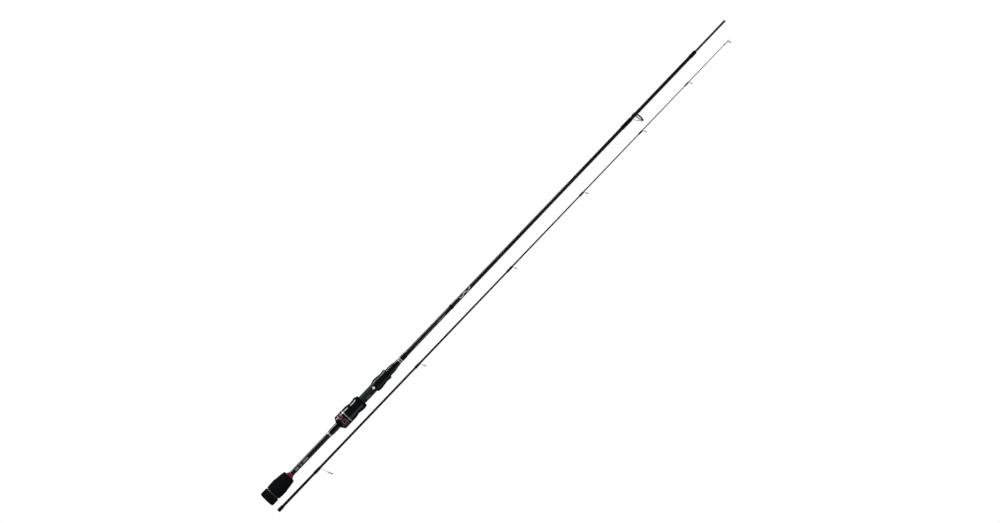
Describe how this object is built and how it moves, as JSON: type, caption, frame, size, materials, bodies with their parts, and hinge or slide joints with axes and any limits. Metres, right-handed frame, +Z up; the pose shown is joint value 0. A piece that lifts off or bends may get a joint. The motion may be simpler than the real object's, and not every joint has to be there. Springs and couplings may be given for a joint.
{
  "type": "spinning fishing rod",
  "caption": "Slim spinning fishing rod with its tip section laid beside its butt section, with a foam grip, a screw-locking reel seat and ring guides on wire frames.",
  "frame": {"origin": "bottom centre of the box round both sections as they lie on the floor", "axes": "+X from the butt towards the tips, +Y across, from the tip section to the butt section, +Z up"},
  "size_m": [0.9514, 0.056, 0.0362],
  "materials": {
    "foam": "matte closed-cell EVA foam",
    "blank": "clear-coated carbon fibre",
    "moulding": "glossy black moulded seat plastic",
    "red_anodised": "red anodised",
    "polished_ring": "polished and clear anodised",
    "spacer": "satin grey anodised",
    "guide_frame": "polished stainless steel",
    "guide_ring": "polished dark ceramic",
    "thread_wrap": "black winding thread under clear epoxy",
    "cushion": "matte rubber",
    "filler": "hardened filler and bond",
    "badge_dot": "pearl white enamel"
  },
  "bodies": {
    "butt_section": {"butt_blank": "blank", "ferrule_spigot": "blank", "ferrule_wrap": "thread_wrap", "butt_cap": "foam", "butt_spacer_ring": "spacer", "rear_grip": "foam", "rear_grip_check": "red_anodised", "rear_trim_ring": "polished_ring", "rear_collar": "moulding", "seat_pipe": "moulding", "seat_arbors": "filler", "fixed_hood": "moulding", "fixed_hood_cushion": "cushion", "seat_badge": "moulding", "seat_badge_dot": "badge_dot", "front_cone": "moulding", "front_check_ring": "polished_ring", "butt_wrap": "thread_wrap", "trim_wrap": "thread_wrap", "guide_1_frame": "guide_frame", "guide_1_ring": "guide_ring", "guide_1_wrap": "thread_wrap"},
    "hood": {"sliding_hood": "moulding", "sliding_hood_cushion": "cushion"},
    "nut": {"lock_nut": "moulding", "lock_nut_ring": "polished_ring", "lock_nut_inlays": "red_anodised"},
    "tip_section": {"tip_blank": "blank", "socket_wrap": "thread_wrap", "guide_2_frame": "guide_frame", "guide_2_ring": "guide_ring", "guide_2_wrap": "thread_wrap", "guide_3_frame": "guide_frame", "guide_3_ring": "guide_ring", "guide_3_wrap": "thread_wrap", "guide_4_frame": "guide_frame", "guide_4_ring": "guide_ring", "guide_4_wrap": "thread_wrap", "guide_5_frame": "guide_frame", "guide_5_ring": "guide_ring", "guide_5_wrap": "thread_wrap", "guide_6_frame": "guide_frame", "guide_6_ring": "guide_ring", "guide_6_wrap": "thread_wrap", "guide_7_frame": "guide_frame", "guide_7_ring": "guide_ring", "guide_7_wrap": "thread_wrap", "tip_top_frame": "guide_frame", "tip_top_ring": "guide_ring", "tip_top_wrap": "thread_wrap"}
  },
  "joints": [
    {"name": "nut_spin", "type": "hinge", "parent": "hood", "child": "nut", "pos_m": [-0.3155, 0.01571, 0.0158], "axis": [-0.9997, 0, -0.0238], "range_deg": [0, 1470]},
    {"name": "hood_slide", "type": "slide", "parent": "butt_section", "child": "hood", "axis": [-0.9997, 0, -0.0238], "range_m": [0, 0.009]},
    {"name": "tip_slide", "type": "slide", "parent": "butt_section", "child": "tip_section", "axis": [1, 0, 0], "range_m": [0, 0.96]}
  ],
  "couplings": [
    {"joint": "hood_slide", "follows": "nut_spin", "m_per_rad": 0.00035014}
  ]
}
